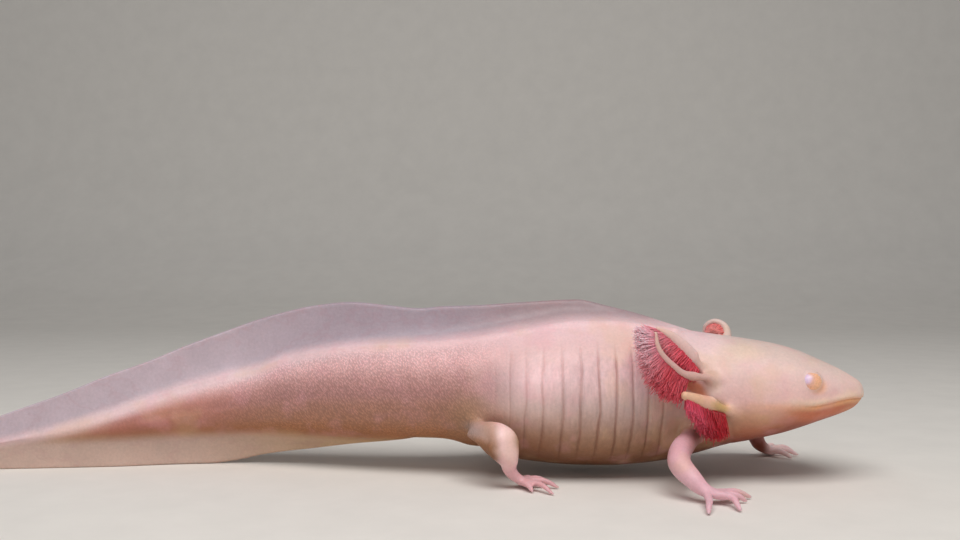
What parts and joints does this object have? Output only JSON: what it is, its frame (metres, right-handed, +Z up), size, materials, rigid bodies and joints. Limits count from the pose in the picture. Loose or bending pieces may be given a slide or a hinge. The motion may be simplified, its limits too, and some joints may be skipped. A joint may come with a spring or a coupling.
{
  "type": "axolotl model",
  "caption": "Life-size still model of a pale axolotl standing on all fours, with feathery red gills, a low head and a long finned tail.",
  "frame": {"origin": "centre of the bounding box in plan, at the level of the soles", "axes": "+X towards the snout, +Y towards the animal's left side, +Z up"},
  "size_m": [0.2432, 0.0774, 0.0463],
  "materials": {
    "skin_head": "moist satin",
    "skin_jaw": "moist satin",
    "skin_trunk": "moist satin",
    "skin_tail": "moist satin",
    "fin_top": "moist satin",
    "fin_under": "moist satin",
    "skin_limb": "moist satin",
    "gill": "moist satin",
    "eye": "wet gloss"
  },
  "bodies": {
    "root": {"head": "skin_head", "lower_jaw": "skin_jaw", "eye_right": "eye", "eye_left": "eye", "neck": "skin_trunk", "trunk_front": "skin_trunk", "trunk_rear": "skin_trunk", "tail_base": "skin_tail", "tail_middle": "skin_tail", "tail_end": "skin_tail", "fin_back": "fin_top", "fin_tail_top_front": "fin_top", "fin_tail_top_middle": "fin_top", "fin_tail_top_end": "fin_top", "fin_tail_under_front": "fin_under", "fin_tail_under_middle": "fin_under", "fin_tail_under_end": "fin_under", "upper_arm_right": "skin_limb", "forearm_right": "skin_limb", "hand_right": "skin_limb", "upper_arm_left": "skin_limb", "forearm_left": "skin_limb", "hand_left": "skin_limb", "thigh_right": "skin_limb", "shin_right": "skin_limb", "foot_right": "skin_limb", "thigh_left": "skin_limb", "shin_left": "skin_limb", "foot_left": "skin_limb", "gill_right_top": "gill", "gill_right_middle": "gill", "gill_right_low": "gill", "gill_left_top": "gill", "gill_left_middle": "gill", "gill_left_low": "gill"}
  },
  "joints": []
}
